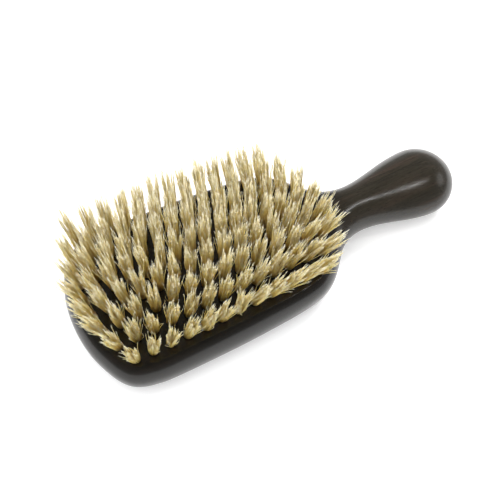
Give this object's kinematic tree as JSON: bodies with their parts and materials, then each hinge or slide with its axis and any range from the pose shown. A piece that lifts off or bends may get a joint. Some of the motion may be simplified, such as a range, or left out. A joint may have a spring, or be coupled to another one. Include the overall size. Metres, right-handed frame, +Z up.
{
  "type": "paddle hairbrush",
  "caption": "Flat hairbrush with natural bristle: dark wood head and stubby knob handle in one piece, staggered rows of drawn tufts and a glued back board.",
  "frame": {"origin": "on the flat of the back, under the middle of the brush's length, where the brush touches what it lies on", "axes": "+X along the brush towards the end of the handle, +Y across the head, +Z up through the bristles"},
  "size_m": [0.1578, 0.0657, 0.0387],
  "materials": {
    "dark_wood": "polished, close-grained, near-black brown",
    "back_wood": "polished, same wood as the head",
    "bristle": "natural straw-coloured boar bristle, split tips"
  },
  "bodies": {
    "root": {"head_and_handle": "dark_wood", "back_board": "back_wood", "bristle_row_1": "bristle", "bristle_row_2": "bristle", "bristle_row_3": "bristle", "bristle_row_4": "bristle", "bristle_row_5": "bristle", "bristle_row_6": "bristle", "bristle_row_7": "bristle", "bristle_row_8": "bristle"}
  },
  "joints": []
}
